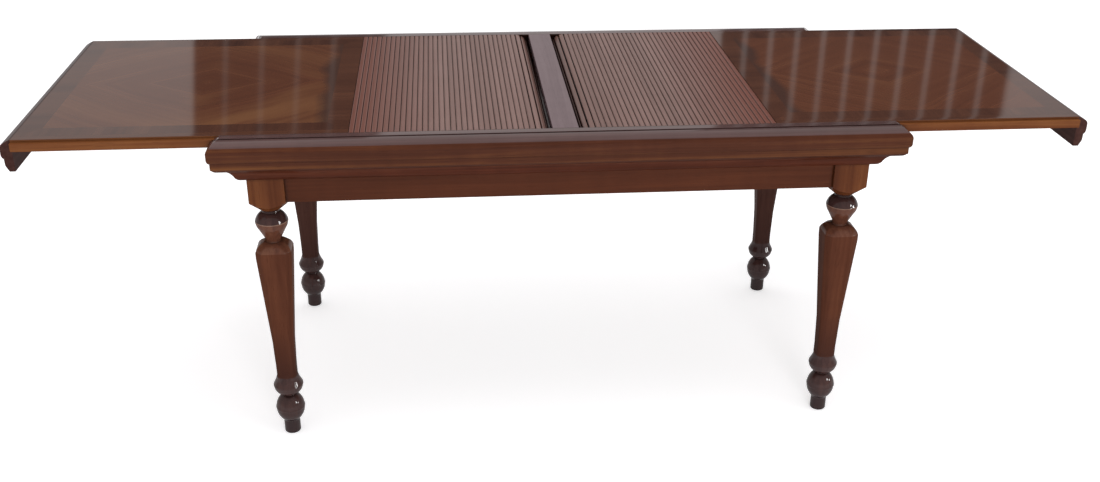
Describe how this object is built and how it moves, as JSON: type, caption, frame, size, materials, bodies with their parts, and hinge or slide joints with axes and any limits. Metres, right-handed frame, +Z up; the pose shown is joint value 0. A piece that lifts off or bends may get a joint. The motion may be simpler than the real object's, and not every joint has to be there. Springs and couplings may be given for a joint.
{
  "type": "draw leaf table",
  "caption": "Mahogany draw leaf dining table on turned legs; two veneered end leaves slide out and slatted tambours fill the top behind them.",
  "frame": {"origin": "on the floor, under the centre of the table", "axes": "+X along the length, in which the leaves are drawn out; +Y to the back; +Z up"},
  "size_m": [2.459, 0.8982, 0.8],
  "materials": {
    "turned_mahogany": "glossy French polish",
    "apron_mahogany": "glossy French polish",
    "moulded_mahogany": "glossy French polish",
    "flame_veneer": "glossy French polish",
    "edge_mahogany": "glossy French polish",
    "tambour_mahogany": "glossy French polish",
    "beech": "bare planed wood",
    "canvas": "woven",
    "steel": "plain zinc plated"
  },
  "bodies": {
    "frame": {"leg_back_right": "turned_mahogany", "leg_back_left": "turned_mahogany", "leg_front_left": "turned_mahogany", "leg_front_right": "turned_mahogany", "corner_braces": "beech", "centre_bearer": "beech", "centre_bar": "tambour_mahogany", "back_apron": "apron_mahogany", "back_cornice": "moulded_mahogany", "back_top_rail": "moulded_mahogany", "front_apron": "apron_mahogany", "front_cornice": "moulded_mahogany", "front_top_rail": "moulded_mahogany", "right_apron": "apron_mahogany", "right_cornice": "moulded_mahogany", "right_end_bearer": "beech", "right_cross_bearer": "beech", "right_loper_guides": "beech", "right_bend_guides": "beech", "right_lower_tracks": "beech", "right_tambour_canvas": "canvas", "right_tambour_slats": "tambour_mahogany", "left_apron": "apron_mahogany", "left_cornice": "moulded_mahogany", "left_end_bearer": "beech", "left_cross_bearer": "beech", "left_loper_guides": "beech", "left_bend_guides": "beech", "left_lower_tracks": "beech", "left_tambour_canvas": "canvas", "left_tambour_slats": "tambour_mahogany"},
    "right_leaf": {"right_leaf_panel": "flame_veneer", "right_leaf_lippings": "edge_mahogany", "right_leaf_end_moulding": "moulded_mahogany", "right_lopers": "beech", "right_loper_screws": "steel", "right_stop_pegs": "beech", "right_canvas_batten": "beech"},
    "left_leaf": {"left_leaf_panel": "flame_veneer", "left_leaf_lippings": "edge_mahogany", "left_leaf_end_moulding": "moulded_mahogany", "left_lopers": "beech", "left_loper_screws": "steel", "left_stop_pegs": "beech", "left_canvas_batten": "beech"}
  },
  "joints": [
    {"name": "left_leaf_slide", "type": "slide", "parent": "frame", "child": "left_leaf", "axis": [1, 0, 0], "range_m": [0, 0.4445], "deforming": ["left_tambour_slats", "left_tambour_canvas"]},
    {"name": "right_leaf_slide", "type": "slide", "parent": "frame", "child": "right_leaf", "axis": [-1, 0, 0], "range_m": [0, 0.4445], "deforming": ["right_tambour_slats", "right_tambour_canvas"]}
  ]
}
